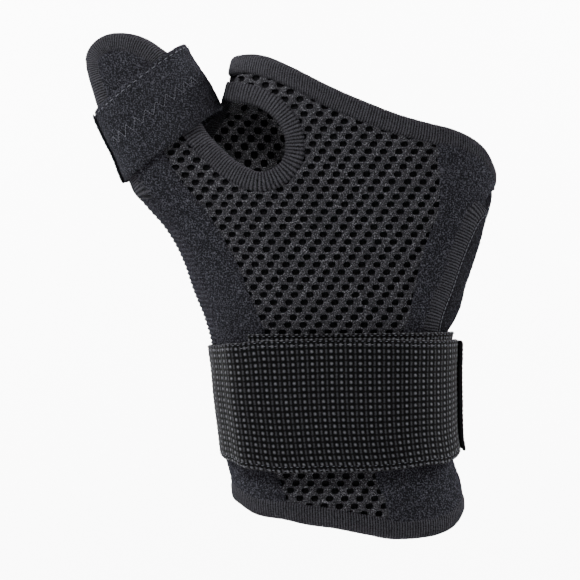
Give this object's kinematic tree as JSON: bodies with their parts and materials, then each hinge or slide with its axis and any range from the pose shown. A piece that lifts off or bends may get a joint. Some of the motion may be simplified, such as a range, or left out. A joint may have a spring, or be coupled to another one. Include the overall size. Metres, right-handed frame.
{
  "type": "thumb spica splint",
  "caption": "Padded cloth wrist and thumb brace with a thumb tongue, a thumb loop strap and a wrapped elastic wrist strap.",
  "frame": {"origin": "middle of the wrist hollow, at half the height of the wrist strap", "axes": "+Z along the forearm towards the fingers, +X towards the little finger, +Y towards the palm"},
  "size_m": [0.1401, 0.0496, 0.1689],
  "materials": {
    "spacer_mesh": "open black spacer mesh, matte",
    "fleece": "brushed black loop fleece, matte",
    "binding": "overlocked black binding with fine ribs",
    "strap_fleece": "brushed black loop tape, matte",
    "elastic": "woven black elastic with lighter dots",
    "hook_tape": "black hook tape, slightly glossy"
  },
  "bodies": {
    "root": {"front_mesh_panel": "spacer_mesh", "back_mesh_panel": "spacer_mesh", "thumb_sleeve_panel": "fleece", "thumb_side_band": "fleece", "finger_side_flap": "fleece", "closure_panel": "fleece", "top_binding": "binding", "bottom_binding": "binding", "thumb_binding": "binding", "flap_binding": "binding", "thumb_strap": "strap_fleece", "thumb_strap_tab": "hook_tape", "wrist_strap": "elastic", "wrist_strap_tab": "hook_tape"}
  },
  "joints": []
}
